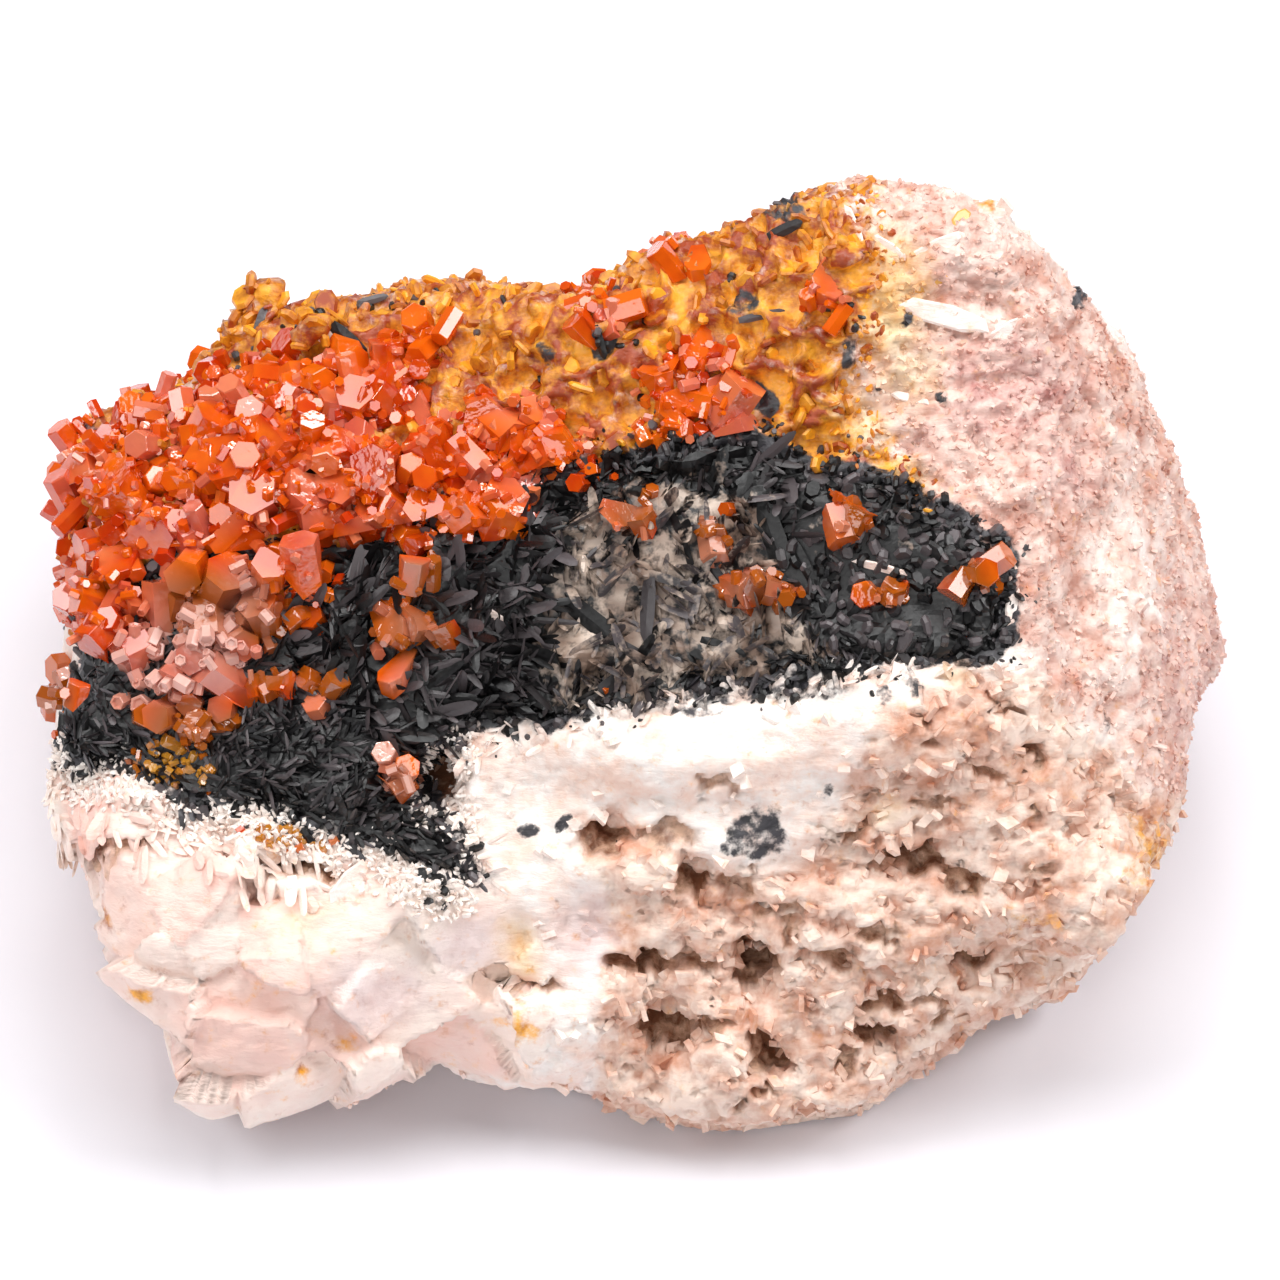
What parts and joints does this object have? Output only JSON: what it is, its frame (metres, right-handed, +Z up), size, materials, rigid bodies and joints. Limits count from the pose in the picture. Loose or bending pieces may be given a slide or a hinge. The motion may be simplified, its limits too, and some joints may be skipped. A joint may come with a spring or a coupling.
{
  "type": "vanadinite on matrix",
  "caption": "Mineral specimen: red hexagonal vanadinite crystals over a crust of black barite blades, on a pale pink barite matrix with an ochre-stained rim and a cavernous broken front.",
  "frame": {"origin": "on the flat underside that the specimen rests on, below the middle of the lump", "axes": "+X along the lump's length, to the right as seen from the front; +Y towards its back; +Z up"},
  "size_m": [0.0677, 0.0516, 0.0404],
  "materials": {
    "barite": "rough broken",
    "black_blades": "satin",
    "vanadinite": "glossy crystal faces"
  },
  "bodies": {
    "root": {"barite_matrix": "barite", "black_blade_crust": "black_blades", "vanadinite_cluster_1": "vanadinite", "vanadinite_cluster_10": "vanadinite", "vanadinite_cluster_11": "vanadinite", "vanadinite_cluster_12": "vanadinite", "vanadinite_cluster_13": "vanadinite", "vanadinite_cluster_14": "vanadinite", "vanadinite_cluster_15": "vanadinite", "vanadinite_cluster_16": "vanadinite", "vanadinite_cluster_17": "vanadinite", "vanadinite_cluster_18": "vanadinite", "vanadinite_cluster_19": "vanadinite", "vanadinite_cluster_2": "vanadinite", "vanadinite_cluster_20": "vanadinite", "vanadinite_cluster_21": "vanadinite", "vanadinite_cluster_22": "vanadinite", "vanadinite_cluster_23": "vanadinite", "vanadinite_cluster_24": "vanadinite", "vanadinite_cluster_25": "vanadinite", "vanadinite_cluster_26": "vanadinite", "vanadinite_cluster_27": "vanadinite", "vanadinite_cluster_28": "vanadinite", "vanadinite_cluster_29": "vanadinite", "vanadinite_cluster_3": "vanadinite", "vanadinite_cluster_30": "vanadinite", "vanadinite_cluster_31": "vanadinite", "vanadinite_cluster_4": "vanadinite", "vanadinite_cluster_5": "vanadinite", "vanadinite_cluster_6": "vanadinite", "vanadinite_cluster_7": "vanadinite", "vanadinite_cluster_8": "vanadinite", "vanadinite_cluster_9": "vanadinite", "vanadinite_main_mass": "vanadinite"}
  },
  "joints": []
}
